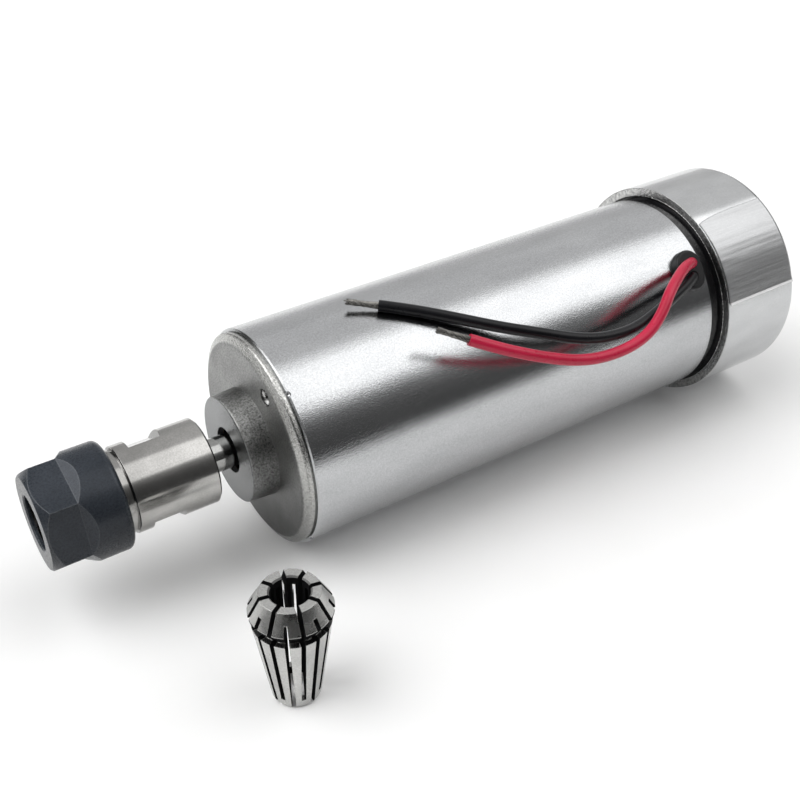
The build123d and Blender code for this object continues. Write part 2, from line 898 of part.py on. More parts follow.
front_outer, front_inner, front_balls, front_cage = ball_bearing(
    front_bearing_x,
    front_bearing_width,
    shaft_radius,
    front_bearing_outside / 2,
    front_ball,
    front_ball_count,
)
rear_outer, rear_inner, rear_balls, rear_cage = ball_bearing(
    rear_bearing_x,
    rear_bearing_width,
    journal_radius,
    rear_bearing_outside / 2,
    rear_ball,
    rear_ball_count,
)
spacer_radius = journal_radius + 2 * shaft_shoulder
clip_bore = journal_radius - clip_groove + press_fit
hub_radius = commutator_radius - commutator_wall - press_fit
magnet = turned(
    [
        (magnet_front, core_radius + armature_gap),
        (magnet_rear, core_radius + armature_gap),
        (magnet_rear, tube_bore - press_fit),
        (magnet_front, tube_bore - press_fit),
    ],
    arc=magnet_arc,
)
red_lead, red_conductor = lead("red lead", red_route)
black_lead, black_conductor = lead("black lead", black_route)

pieces = {
    "motor_tube": motor_tube(),
    "front_end_plate": front_end_plate(),
    "preload_shim": ring(
        -boss_length + boss_lip,
        front_bearing_x,
        front_bearing_outside / 2 - boss_wall,
        front_bearing_outside / 2 - press_fit,
    ),
    "front_bearing_outer_ring": front_outer,
    "front_bearing_inner_ring": front_inner,
    "front_bearing_balls": front_balls,
    "front_bearing_cage": front_cage,
    "rear_bearing_outer_ring": rear_outer,
    "rear_bearing_inner_ring": rear_inner,
    "rear_bearing_balls": rear_balls,
    "rear_bearing_cage": rear_cage,
    "upper_magnet": Rot(-magnet_arc / 2, 0, 0) * magnet,
    "lower_magnet": Rot(180 - magnet_arc / 2, 0, 0) * magnet,
    "shaft": shaft(),
    "armature_core": armature_core(),
    "armature_windings": armature_windings(),
    "commutator": commutator(),
    "commutator_hub": ring(commutator_front, commutator_rear, core_seat_radius + press_fit, hub_radius),
    "upper_brush_guide": brush_guide(0),
    "lower_brush_guide": brush_guide(180),
    "upper_brush": carbon_brush(0),
    "lower_brush": carbon_brush(180),
    "upper_brush_spring": brush_spring(0),
    "lower_brush_spring": brush_spring(180),
    "upper_guide_cap": guide_cap(0),
    "lower_guide_cap": guide_cap(180),
    "rear_end_bell": rear_end_bell(),
    "tie_bolts": tie_bolts(),
    "fan_cup": fan_cup(),
    "cup_screws": cup_screws(),
    "fan_spacer": ring(rear_bearing_end, fan_front, journal_radius + press_fit, spacer_radius),
    "cooling_fan": cooling_fan(),
    "fan_clip": ring(fan_rear, fan_rear + fan_clip, clip_bore, fan_clip_diameter / 2),
    "collet_holder": collet_holder(),
    "collet_nut": collet_nut(),
    "nut_ring": nut_ring(),
    "spring_collet": spring_collet(),
    "grommet": grommet(),
    "red_lead": red_lead,
    "red_conductor": red_conductor,
    "black_lead": black_lead,
    "black_conductor": black_conductor,
}

os.makedirs("parts", exist_ok=True)
for name, piece in pieces.items():
    export_step(piece, f"parts/{name}.step")
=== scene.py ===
import json
import math
import random

import bpy
from mathutils import Matrix, Vector, noise


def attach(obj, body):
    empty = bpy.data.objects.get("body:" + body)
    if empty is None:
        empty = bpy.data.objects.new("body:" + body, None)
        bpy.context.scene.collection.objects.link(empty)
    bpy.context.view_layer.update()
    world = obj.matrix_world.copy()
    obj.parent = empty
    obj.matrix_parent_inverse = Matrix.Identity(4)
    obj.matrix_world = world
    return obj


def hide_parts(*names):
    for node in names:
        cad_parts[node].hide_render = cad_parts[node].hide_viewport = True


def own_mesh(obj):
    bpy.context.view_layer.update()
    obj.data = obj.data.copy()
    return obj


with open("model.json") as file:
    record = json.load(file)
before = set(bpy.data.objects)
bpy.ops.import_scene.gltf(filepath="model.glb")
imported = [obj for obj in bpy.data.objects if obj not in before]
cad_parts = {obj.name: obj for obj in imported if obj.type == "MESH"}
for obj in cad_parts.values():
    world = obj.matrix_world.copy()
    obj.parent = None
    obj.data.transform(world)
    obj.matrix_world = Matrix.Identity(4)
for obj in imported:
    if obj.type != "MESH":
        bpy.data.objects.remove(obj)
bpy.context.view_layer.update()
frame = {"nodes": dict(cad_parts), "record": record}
nodes = frame["nodes"]


def extent(node, axis):
    """The lowest and the highest coordinate of a node along one axis, to a micrometre."""
    piece = nodes[node]
    places = [(piece.matrix_world @ vertex.co)[axis] for vertex in piece.data.vertices]
    return round(min(places), 6), round(max(places), 6)


# Sizes in metres, angles in degrees from +Z towards -Y round the spindle axis
MM = 0.001
TUBE_RADIUS = extent("motor_tube", 2)[1]
TUBE_FRONT, TUBE_REAR = extent("motor_tube", 0)
GROMMET_ANGLE = 49.0
CUP_RADIUS = extent("fan_cup", 2)[1]
CUP_FRONT, CUP_REAR = extent("fan_cup", 0)
CUP_WALL = 2.2 * MM
CUP_BACK = 1.6 * MM
LEAD_DIAMETER = 2.7 * MM
BEVEL_START = 23.6 * MM
BOSS_FACE = extent("front_end_plate", 0)[0]
CRIMP_MARK = (2.4 * MM, 36.5)
MOUNTING_RADIUS = 19.6 * MM
MOUNTING_HOLE = 2.1 * MM
MOUNTING_ANGLES = (28.0, 208.0)
COLLET_PLACE = (-17.1 * MM, -48.75 * MM)
COLLET_GROOVE = (20.4 * MM, 23.35 * MM)
FLOOR_SLOPE = (CUP_RADIUS - TUBE_RADIUS) / (CUP_FRONT - TUBE_FRONT)


def floor_height(x):
    """The floor's height at a distance along the spindle axis, as the tube and the cup rest on it."""
    return -TUBE_RADIUS - FLOOR_SLOPE * (x - TUBE_FRONT)


def around_axis(x, radius, angle):
    """The point at an angle round the spindle axis."""
    turn = math.radians(angle)
    return Vector((x, -radius * math.sin(turn), radius * math.cos(turn)))


def link(obj):
    bpy.context.scene.collection.objects.link(obj)
    return obj


# Camera at the photograph's viewing angle
CAMERA_PLACE = Vector((-0.07984, -0.18863, 0.15337))
CAMERA_RIGHT = Vector((0.83850, -0.54473, -0.01396))
CAMERA_UP = Vector((0.32388, 0.47761, 0.81670))
CAMERA_AHEAD = Vector((0.43821, 0.68932, -0.57690))
camera = link(bpy.data.objects.new("camera", bpy.data.cameras.new("camera")))
camera.data.sensor_width = 36.0
camera.data.lens = 49.95
camera.data.clip_start = 0.01
turned_axes = Matrix((CAMERA_RIGHT, CAMERA_UP, -CAMERA_AHEAD)).transposed().to_4x4()
camera.matrix_world = Matrix.Translation(CAMERA_PLACE) @ turned_axes
bpy.context.scene.camera = camera

# The leads' routes, as (distance in front of the tube's rear edge, height over the tube, distance
# round the tube from the grommet's middle)
RED_ROUTE = [
    (0.0039, -0.0032, -0.0016),
    (0.0042, 0.0016, -0.0016),
    (0.0066, 0.0042, -0.0015),
    (0.0121, 0.0069, -0.0008),
    (0.0207, 0.0096, 0.0022),
    (0.0254, 0.0104, 0.0051),
    (0.0306, 0.0105, 0.0076),
    (0.0370, 0.0102, 0.0088),
    (0.0445, 0.0097, 0.0088),
    (0.0514, 0.0093, 0.0078),
    (0.0586, 0.0091, 0.0057),
    (0.0662, 0.0089, 0.0029),
    (0.0724, 0.0085, 0.0001),
    (0.0765, 0.0082, -0.0021),
]
BLACK_ROUTE = [
    (0.0049, -0.0032, 0.0014),
    (0.0051, 0.0015, 0.0014),
    (0.0074, 0.0031, 0.0018),
    (0.0130, 0.0046, 0.0032),
    (0.0212, 0.0062, 0.0048),
    (0.0310, 0.0074, 0.0065),
    (0.0404, 0.0082, 0.0062),
    (0.0488, 0.0082, 0.0046),
    (0.0574, 0.0057, 0.0010),
    (0.0651, 0.0034, -0.0029),
    (0.0745, 0.0021, -0.0089),
    (0.0821, 0.0016, -0.0143),
    (0.0874, 0.0014, -0.0182),
]
STRAND_COUNT = 15
INNER_STRANDS = 4
INNER_RING = 0.32 * MM
OUTER_RING = 0.74 * MM
STRAND_RADIUS = 0.17 * MM
STRAND_TWIST = 2.2 * math.pi
STRAND_WAIST = 0.20
STRAND_FLATNESS = 0.3
STRAND_REACH = (0.90, 1.03)
STRAND_SPREAD = (0.75, 1.15)
BARE_LENGTH = 8.2 * MM
BARE_START = 0.2 * LEAD_DIAMETER


def beside_tube(setback, height, across):
    """The point of a lead's route."""
    angle = GROMMET_ANGLE + math.degrees(across / TUBE_RADIUS)
    return around_axis(TUBE_REAR - setback, TUBE_RADIUS + height, angle)


def lead_curve(name, route):
    """A lead as one smooth spline that has the route's points as its control points."""
    curve = bpy.data.curves.new(name, "CURVE")
    curve.dimensions = "3D"
    curve.bevel_depth = 1
    curve.bevel_resolution = 8
    curve.resolution_u = 24
    curve.use_fill_caps = True
    spline = curve.splines.new("NURBS")
    spline.points.add(len(route) - 1)
    for point, place in zip(spline.points, route):
        point.co = (*beside_tube(*place), 1)
        point.radius = LEAD_DIAMETER / 2
    spline.order_u = 3
    spline.use_endpoint_u = True
    return link(bpy.data.objects.new(name, curve))


def bare_strands(name, route, seed):
    """Twisted tinned strands that stand out of a lead's stripped end and part a little at the tip."""
    draw = random.Random(seed)
    last = beside_tube(*route[-1])
    ahead = (last - beside_tube(*route[-2])).normalized()
    side = ahead.cross(Vector((0, 0, 1))).normalized()
    other = ahead.cross(side)
    curve = bpy.data.curves.new(name, "CURVE")
    curve.dimensions = "3D"
    curve.bevel_depth = 1
    curve.bevel_resolution = 3
    curve.use_fill_caps = True
    steps = 14
    for strand in range(STRAND_COUNT):
        inner = strand < INNER_STRANDS
        first = 2 * math.pi * strand / (INNER_STRANDS if inner else STRAND_COUNT - INNER_STRANDS)
        ring = INNER_RING if inner else OUTER_RING
        reach = BARE_LENGTH * draw.uniform(*STRAND_REACH)
        spread = draw.uniform(*STRAND_SPREAD)
        spline = curve.splines.new("NURBS")
        spline.points.add(steps - 1)
        for step in range(steps):
            share = step / (steps - 1)
            turn = first + STRAND_TWIST * share
            waist = 1 - STRAND_WAIST * math.sin(math.pi * share)
            radius = ring * (waist + (spread - 1) * share ** 2)
            flat = 1 - STRAND_FLATNESS * share ** 2
            place = last + ahead * (reach * share - BARE_START)
            place += (side * math.cos(turn) + other * math.sin(turn) * flat) * radius
            spline.points[step].co = (*place, 1)
            spline.points[step].radius = STRAND_RADIUS
        spline.order_u = 3
        spline.use_endpoint_u = True
    return link(bpy.data.objects.new(name, curve))


red_lead = lead_curve("red_lead_insulation", RED_ROUTE)
black_lead = lead_curve("black_lead_insulation", BLACK_ROUTE)
red_strands = bare_strands("red_lead_strands", RED_ROUTE, 3)
black_strands = bare_strands("black_lead_strands", BLACK_ROUTE, 8)
for piece, node in (
    (red_lead, "red_lead"),
    (black_lead, "black_lead"),
    (red_strands, "red_conductor"),
    (black_strands, "black_conductor"),
):
    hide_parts(node)
    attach(piece, "stator")


def mesh_piece(name, points, faces, smooth=True):
    """A mesh object that rides on the motor."""
    mesh = bpy.data.meshes.new(name)
    mesh.from_pydata(points, [], faces)
    for face in mesh.polygons:
        face.use_smooth = smooth
    piece = link(bpy.data.objects.new(name, mesh))
    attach(piece, "stator")
    return piece


def grid_faces(rows, columns, closed=False):
    """Quads between rows of points that each hold the same number of columns."""
    faces = []
    for row in range(rows - 1):
        start, after = row * columns, (row + 1) * columns
        for column in range(columns if closed else columns - 1):
            beside = (column + 1) % columns
            faces.append((start + column, start + beside, after + beside, after + column))
    return faces


# The film on the cup: the angles where it starts and ends, the band of painted highlight along its
# end, its margins, the corner cut off its start, its height over the chrome and how its two edges lift
FILM_START = 24.5
FILM_END = 73.5
FILM_EDGE_HIGHLIGHT = 1.2
FILM_MARGINS = (0.3 * MM, 1.3 * MM)
FILM_CORNER = 3.0
FILM_CORNER_LENGTH = 5 * MM
FILM_HEIGHT = 0.12 * MM
FILM_WAVE = 0.06 * MM
FILM_LIP = 0.52 * MM
FILM_LIP_WAVE = 0.10 * MM
FILM_LIP_FADE = 36
FILM_TOP_LIP = 0.16 * MM
FILM_TOP_FADE = 100
FILM_THICKNESS = 0.04 * MM


def cup_film():
    """Clear protective film stuck to the cup's side, wavy, with its lower edge lifted."""
    across, along = 240, 60
    front, rear = CUP_FRONT + FILM_MARGINS[0], CUP_REAR - FILM_MARGINS[1]
    points = []
    for row in range(across + 1):
        share = row / across
        for column in range(along + 1):
            x = front + (rear - front) * column / along
            corner = FILM_CORNER * math.exp(-(x - front) / FILM_CORNER_LENGTH)
            start = FILM_START + corner * (1 - share)
            angle = start + (FILM_END - start) * share
            wave = noise.noise(Vector((x * 60, angle * 0.22, 0.0)))
            wave += 0.4 * noise.noise(Vector((x * 110, angle * 0.5, 7.0)))
            lip = FILM_LIP + FILM_LIP_WAVE * noise.noise(Vector((x * 300, 0.0, 2.0)))
            height = FILM_HEIGHT + FILM_WAVE * wave
            height += lip * math.exp(-(1 - share) * FILM_LIP_FADE)
            height += FILM_TOP_LIP * math.exp(-share * FILM_TOP_FADE)
            points.append(around_axis(x, CUP_RADIUS + height, angle))
    piece = mesh_piece("cup_film", points, grid_faces(across + 1, along + 1))
    skin = piece.modifiers.new("thickness", "SOLIDIFY")
    skin.thickness = FILM_THICKNESS
    skin.offset = -1
    return piece


# Torn metal on the cup's cut rim: its least thickness, what rough places add, and how far it wanders
BURR_OUTSIDE = CUP_RADIUS - 0.12 * MM
BURR_INSIDE = CUP_RADIUS - CUP_WALL + 0.10 * MM
BURR_THICKNESS = 0.06 * MM
BURR_GROWTH = 0.22 * MM
BURR_WANDER = 0.05 * MM


def rim_burr(name, radius, seed):
    """Torn metal along one edge of the cup's cut rim."""
    turns, sides = 900, 6
    points = []
    for step in range(turns):
        angle = 360 * step / turns
        rough = noise.noise(Vector((angle * 0.9, seed, 0.0)))
        rough += 0.6 * noise.noise(Vector((angle * 2.3, seed, 5.0)))
        thick = BURR_THICKNESS + BURR_GROWTH * max(0.0, rough)
        middle = CUP_FRONT + BURR_WANDER * rough
        for side in range(sides):
            turn = 2 * math.pi * side / sides
            x = middle + thick * math.cos(turn)
            points.append(around_axis(x, radius + thick * math.sin(turn), angle))
    faces = grid_faces(turns, sides, closed=True)
    last = (turns - 1) * sides
    for side in range(sides):
        beside = (side + 1) % sides
        faces.append((last + side, last + beside, beside, side))
    return mesh_piece(name, points, faces)


# The thread in a mounting hole, which starts a little way in and stands clear of the hole's wall
THREAD_PITCH = 0.8 * MM
THREAD_LENGTH = 6.0 * MM
THREAD_START = 0.35 * MM
THREAD_CLEARANCE = 0.05 * MM
THREAD_DEPTH = 0.42 * MM


def mounting_thread(name, angle):
    """The cut thread's flanks inside a mounting hole."""
    steps, sides = 108, 48
    centre = around_axis(0, MOUNTING_RADIUS, angle)
    points = []
    for step in range(steps + 1):
        depth = THREAD_START + THREAD_LENGTH * step / steps
        for side in range(sides):
            turn = 2 * math.pi * side / sides
            phase = (depth / THREAD_PITCH + side / sides) % 1
            flank = abs(2 * phase - 1)
            radius = MOUNTING_HOLE - THREAD_CLEARANCE - THREAD_DEPTH * flank
            points.append(centre + Vector((depth, radius * math.cos(turn), radius * math.sin(turn))))
    faces = grid_faces(steps + 1, sides, closed=True)
    return mesh_piece(name, points, faces, smooth=False)


def pressed_spring(side):
    """A copy of a brush spring with a mesh of its own, shown in place of the original."""
    node = side + "_brush_spring"
    piece = link(bpy.data.objects.new(node + "_coil", nodes[node].data.copy()))
    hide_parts(node)
    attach(piece, "stator")
    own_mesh(piece)
    return piece


film = cup_film()
springs = [pressed_spring("upper"), pressed_spring("lower")]
burrs = [
    rim_burr("rim_burr_outside", BURR_OUTSIDE, 1.0),
    rim_burr("rim_burr_inside", BURR_INSIDE, 9.0),
]
threads = [
    mounting_thread("mounting_thread_%d" % number, angle)
    for number, angle in enumerate(MOUNTING_ANGLES, 1)
]


class Nodes:
    """A node tree with short calls for the nodes that materials and the studio are built from."""

    def __init__(self, tree):
        self.tree = tree

    def node(self, kind):
        return self.tree.nodes.new(kind)

    def join(self, start, end):
        """Links a socket, or gives a number or a colour, to an input."""
        if isinstance(start, (int, float)):
            end.default_value = start
        elif isinstance(start, tuple):
            end.default_value = (*start, 1)
        else:
            self.tree.links.new(start, end)

    def math(self, operation, first, second):
        """One arithmetic step on two values, each a socket or a number."""
        step = self.node("ShaderNodeMath")
        step.operation = operation
        self.join(first, step.inputs[0])
        self.join(second, step.inputs[1])
        return step.outputs[0]

    def ranged(self, value, low, high, start=0.3, end=0.7, kind="LINEAR"):
        """A value between start and end moved to the range from low to high."""
        spread = self.node("ShaderNodeMapRange")
        spread.interpolation_type = kind
        spread.inputs["From Min"].default_value = start
        spread.inputs["From Max"].default_value = end
        spread.inputs["To Min"].default_value = low
        spread.inputs["To Max"].default_value = high
        self.join(value, spread.inputs["Value"])
        return spread.outputs["Result"]

    def blended(self, value, below, above):
        """A number between two values that may be numbers or sockets."""
        mix = self.node("ShaderNodeMix")
        self.join(value, mix.inputs["Factor"])
        self.join(below, mix.inputs["A"])
        self.join(above, mix.inputs["B"])
        return mix.outputs["Result"]

    def parts(self, vector):
        """The three parts of a vector."""
        split = self.node("ShaderNodeSeparateXYZ")
        self.join(vector, split.inputs[0])
        return split.outputs


class Shader(Nodes):
    """A material with short calls for its colours, its grain, and the rounded edges that also mark rubbed
    edges and painted edge highlights.
    """

    def __init__(self, name):
        self.material = bpy.data.materials.new(name)
        self.material.use_nodes = True
        super().__init__(self.material.node_tree)
        self.base = self.tree.nodes["Principled BSDF"]
        self.place = self.node("ShaderNodeTexCoord").outputs["Object"]

    def scaled(self, sizes):
        """Object coordinates stretched by three factors."""
        mapping = self.node("ShaderNodeMapping")
        mapping.inputs["Scale"].default_value = sizes
        self.join(self.place, mapping.inputs["Vector"])
        return mapping.outputs["Vector"]

    def wrapped(self, along, round_axis):
        """Coordinates on a cylinder about the spindle axis: distance along it, and angle."""
        place = self.parts(self.place)
        angle = self.math("ARCTAN2", place["Y"], place["Z"])
        merged = self.node("ShaderNodeCombineXYZ")
        self.join(self.math("MULTIPLY", place["X"], along), merged.inputs["X"])
        self.join(self.math("MULTIPLY", angle, round_axis), merged.inputs["Y"])
        return merged.outputs[0]

    def noise(self, vector, scale, detail=2.0, roughness=0.5):
        texture = self.node("ShaderNodeTexNoise")
        texture.inputs["Scale"].default_value = scale
        texture.inputs["Detail"].default_value = detail
        texture.inputs["Roughness"].default_value = roughness
        self.join(vector, texture.inputs["Vector"])
        return texture.outputs["Fac"]

    def colours(self, value, below, above):
        """A colour between two colours that may be fixed or sockets."""
        mix = self.node("ShaderNodeMix")
        mix.data_type = "RGBA"
        self.join(value, mix.inputs["Factor"])
        self.join(below, mix.inputs["A"])
        self.join(above, mix.inputs["B"])
        return mix.outputs["Result"]

    def darkened(self, colour, value):
        """A colour times a value."""
        product = self.node("ShaderNodeVectorMath")
        product.operation = "SCALE"
        self.join(colour, product.inputs[0])
        self.join(value, product.inputs["Scale"])
        return product.outputs["Vector"]

    def speckled(self, scale, strength):
        """A fine speckle, from 1 - strength to 1 + strength."""
        return self.ranged(self.noise(self.place, scale, 2, 0.6), 1 - strength, 1 + strength)

    def bump(self, height, distance, strength=1.0, below=None):
        bump = self.node("ShaderNodeBump")
        bump.inputs["Distance"].default_value = distance
        bump.inputs["Strength"].default_value = strength
        self.join(height, bump.inputs["Height"])
        if below is not None:
            self.join(below, bump.inputs["Normal"])
        return bump.outputs["Normal"]

    def rounded(self, radius, samples=4):
        """A normal that rounds sharp edges."""
        bevel = self.node("ShaderNodeBevel")
        bevel.samples = samples
        bevel.inputs["Radius"].default_value = radius
        return bevel.outputs["Normal"]

    def facing(self):
        """The parts of the direction that a face looks in."""
        return self.parts(self.node("ShaderNodeNewGeometry").outputs["True Normal"])

    def radius(self, place, first, second):
        """Distance from an axis, worked out from the two coordinates across it."""
        place = self.parts(place)
        squares = [self.math("POWER", place[axis], 2) for axis in (first, second)]
        return self.math("POWER", self.math("ADD", *squares), 0.5)

    def finish(self, colour, roughness, normal, **constants):
        self.join(colour, self.base.inputs["Base Color"])
        self.join(roughness, self.base.inputs["Roughness"])
        if normal is not None:
            self.join(normal, self.base.inputs["Normal"])
        for name, value in constants.items():
            self.base.inputs[name.replace("_", " ")].default_value = value
        return self.material


def plated_tube():
    """Bright zinc plating: mirror-like, with a fine grain that breaks up the edges of reflections."""
    look = Shader("plated_tube")
    grain = look.noise(look.place, 3000, 3, 0.7)
    cloud = look.noise(look.scaled((1, 3, 3)), 60, 3)
    along = look.noise(look.wrapped(8, 30), 1.0, 2)
    colour = look.colours(look.ranged(cloud, 0, 1), (0.44, 0.447, 0.455), (0.50, 0.507, 0.515))
    colour = look.darkened(colour, look.speckled(2900, 0.12))
    away = look.node("ShaderNodeVectorMath")
    away.operation = "DISTANCE"
    away.inputs[1].default_value = around_axis(CRIMP_MARK[0], TUBE_RADIUS, CRIMP_MARK[1])
    look.join(look.place, away.inputs[0])
    mark = look.ranged(away.outputs["Value"], 1, 0, 0.3 * MM, 0.7 * MM)
    colour = look.colours(mark, colour, (0.10, 0.06, 0.04))
    normal = look.bump(grain, 0.05 * MM, 0.75)
    normal = look.bump(along, 0.4 * MM, 0.02, normal)
    return look.finish(colour, look.ranged(grain, 0.07, 0.16), normal, Metallic=1.0)


def chromed_cup():
    """Polished chrome with a faint drawn waviness, a rim left as it was cut, and painted shade inside:
    the inside is near-black.
    """
    look = Shader("chromed_cup")
    grain = look.noise(look.place, 3000, 2)
    wave = look.noise(look.wrapped(90, 6), 1.0, 2)
    torn = look.noise(look.place, 1300, 4, 0.7)
    colour = look.colours(look.ranged(wave, 0, 1), (0.50, 0.507, 0.512), (0.55, 0.557, 0.562))
    colour = look.darkened(colour, look.speckled(3200, 0.06))
    ahead = look.facing()["X"]
    along = look.parts(look.place)["X"]
    near = look.ranged(along, 1, 0, CUP_FRONT + 0.3 * MM, CUP_FRONT + 0.6 * MM)
    cut = look.math("MULTIPLY", near, look.ranged(ahead, 1, 0, -0.6, -0.3))
    rough = look.colours(look.ranged(torn, 0, 1), (0.20, 0.20, 0.20), (0.74, 0.74, 0.73))
    colour = look.colours(cut, colour, rough)
    # Painted shade: the cup's inside is coloured near-black
    ahead_of_back = look.math("LESS_THAN", along, CUP_REAR - CUP_BACK + 0.1 * MM)
    out = look.radius(look.place, "Y", "Z")
    inside = look.math("LESS_THAN", out, CUP_RADIUS - CUP_WALL + 0.2 * MM)
    inside = look.math("MULTIPLY", inside, ahead_of_back)
    colour = look.colours(inside, colour, (0.012, 0.012, 0.013))
    normal = look.bump(grain, 0.03 * MM, 0.14)
    normal = look.bump(wave, 0.4 * MM, 0.06, normal)
    normal = look.bump(look.math("MULTIPLY", torn, cut), 0.2 * MM, 0.45, normal)
    look.join(look.blended(inside, 1.0, 0.2), look.base.inputs["Metallic"])
    return look.finish(colour, look.blended(cut, look.ranged(grain, 0.08, 0.16), 0.2), normal)


def torn_metal():
    """Bright torn metal."""
    look = Shader("torn_metal")
    torn = look.noise(look.place, 2400, 4, 0.7)
    colour = look.colours(look.ranged(torn, 0, 1), (0.30, 0.30, 0.295), (0.80, 0.80, 0.79))
    normal = look.bump(torn, 0.1 * MM, 0.6)
    return look.finish(colour, look.ranged(torn, 0.15, 0.35), normal, Metallic=1.0)


def cup_film_finish():
    """Clear film over chrome: softer than the bare cup, streaked, with a painted highlight along its
    lower edge.
    """
    look = Shader("cup_film_finish")
    streak = look.noise(look.wrapped(45, 60), 1.0, 3, 0.55)
    spot = look.noise(look.wrapped(200, 20), 1.0, 3)
    colour = look.colours(look.ranged(streak, 0, 1), (0.46, 0.465, 0.47), (0.56, 0.565, 0.57))
    colour = look.darkened(colour, look.speckled(2600, 0.06))
    place = look.parts(look.place)
    angle = look.math("ARCTAN2", look.math("MULTIPLY", place["Y"], -1), place["Z"])
    # Painted highlight: a band along the film's lower edge is coloured near-white
    cut = look.math("GREATER_THAN", angle, math.radians(FILM_END - FILM_EDGE_HIGHLIGHT))
    colour = look.colours(cut, colour, (0.85, 0.85, 0.85))
    look.join(look.blended(cut, 0.88, 0.1), look.base.inputs["Metallic"])
    normal = look.bump(streak, 0.12 * MM, 0.16)
    normal = look.bump(spot, 0.3 * MM, 0.05, normal)
    return look.finish(colour, look.ranged(streak, 0.30, 0.42), normal)


def cast_plate():
    """Granular die-cast zinc alloy, lighter on its outer bevel and smoother on the boss's face."""
    look = Shader("cast_plate")
    grain = look.noise(look.place, 1500, 4, 0.7)
    cloud = look.noise(look.place, 160, 3)
    pits = look.noise(look.place, 3400, 2, 0.6)
    fine = look.noise(look.place, 2300, 3, 0.75)
    colour = look.colours(look.ranged(cloud, 0, 1), (0.19, 0.191, 0.187), (0.27, 0.271, 0.265))
    colour = look.darkened(colour, look.ranged(fine, 0.45, 1.55, 0.35, 0.65))
    out = look.radius(look.place, "Y", "Z")
    rim = look.ranged(out, 0, 1, BEVEL_START - 0.3 * MM, BEVEL_START + 0.2 * MM)
    light = look.colours(look.ranged(fine, 0, 1), (0.30, 0.30, 0.29), (0.64, 0.64, 0.62))
    colour = look.colours(rim, colour, light)
    turned = look.math("LESS_THAN", look.parts(look.place)["X"], BOSS_FACE + 0.1 * MM)
    colour = look.colours(turned, colour, (0.21, 0.215, 0.217))
    # Painted shade: the plate is darker towards the bottom
    height = look.parts(look.place)["Z"]
    colour = look.darkened(colour, look.ranged(height, 0.42, 1.05, -17 * MM, 7 * MM))
    normal = look.bump(grain, 0.16 * MM, 0.7, look.rounded(0.25 * MM))
    normal = look.bump(pits, 0.08 * MM, 0.7, normal)
    smooth = look.math("MAXIMUM", turned, rim)
    roughness = look.blended(smooth, look.ranged(fine, 0.26, 0.46), 0.2)
    return look.finish(colour, roughness, normal, Metallic=0.95)


def ground_metal(name, dark, light, low, high, groove):
    """Metal ground or turned round the spindle axis, with painted shade on faces that look forward."""
    look = Shader(name)
    lines = look.noise(look.wrapped(9000, 1.2), 1.0, 3)
    cloud = look.noise(look.place, 180, 3)
    streak = look.noise(look.wrapped(60, 16), 1.0, 3)
    colour = look.colours(look.ranged(cloud, 0, 1), dark, light)
    colour = look.darkened(colour, look.speckled(2800, 0.08))
    # Painted shade: faces that look forward are darkened
    ahead = look.facing()["X"]
    colour = look.darkened(colour, look.ranged(ahead, 0.45, 1.0, -0.9, -0.6))
    normal = look.bump(lines, 0.02 * MM, groove, look.rounded(0.12 * MM))
    return look.finish(colour, look.ranged(streak, low, high), normal, Metallic=1.0)


def black_nut():
    """Black oxide on turned and milled steel, with rubbed edges lightened further as a painted highlight,
    and painted light on top and shade below.
    """
    look = Shader("black_nut")
    grain = look.noise(look.place, 2200, 3, 0.6)
    cloud = look.noise(look.place, 120, 4)
    edge = look.rounded(0.35 * MM, samples=6)
    plain = look.node("ShaderNodeNewGeometry").outputs["Normal"]
    meet = look.node("ShaderNodeVectorMath")
    meet.operation = "DOT_PRODUCT"
    look.join(edge, meet.inputs[0])
    look.join(plain, meet.inputs[1])
    # Rubbed edges, lightened further as a painted edge highlight
    worn_and_highlight = look.ranged(meet.outputs["Value"], 1, 0, 0.90, 0.995)
    body = look.colours(look.ranged(cloud, 0, 1), (0.017, 0.021, 0.027), (0.029, 0.034, 0.042))
    colour = look.colours(worn_and_highlight, look.darkened(body, look.speckled(2400, 0.25)), (0.11, 0.116, 0.124))
    # Painted light on faces that look up and painted shade on faces that look down
    colour = look.darkened(colour, look.ranged(look.facing()["Z"], 0.8, 1.5, 0.0, 0.8))
    normal = look.bump(grain, 0.03 * MM, 0.3, look.rounded(0.2 * MM))
    roughness = look.ranged(grain, 0.23, 0.34)
    return look.finish(colour, roughness, normal, Metallic=0.2, Specular_IOR_Level=0.33)


def plastic(name, dark, light, low, high, grain_size=900, depth=0.04, edge=0.15, shine=0.5):
    """Moulded plastic, rubber or silicone with a fine skin."""
    look = Shader(name)
    grain = look.noise(look.place, grain_size, 4, 0.6)
    cloud = look.noise(look.place, 140, 3)
    colour = look.colours(look.ranged(cloud, 0, 1), dark, light)
    normal = look.bump(grain, depth * MM, 0.35, look.rounded(edge * MM))
    return look.finish(colour, look.ranged(grain, low, high), normal, Specular_IOR_Level=shine)


def laminations():
    """Edges of stacked sheets under varnish."""
    look = Shader("laminations")
    sheets = look.node("ShaderNodeTexWave")
    sheets.bands_direction = "X"
    sheets.inputs["Scale"].default_value = 320
    sheets.inputs["Distortion"].default_value = 0.4
    look.join(look.place, sheets.inputs["Vector"])
    cloud = look.noise(look.place, 150, 3)
    colour = look.colours(look.ranged(cloud, 0, 1), (0.20, 0.20, 0.21), (0.34, 0.34, 0.35))
    normal = look.bump(sheets.outputs["Fac"], 0.1 * MM, 0.5)
    return look.finish(colour, look.ranged(cloud, 0.35, 0.5), normal, Metallic=0.85)


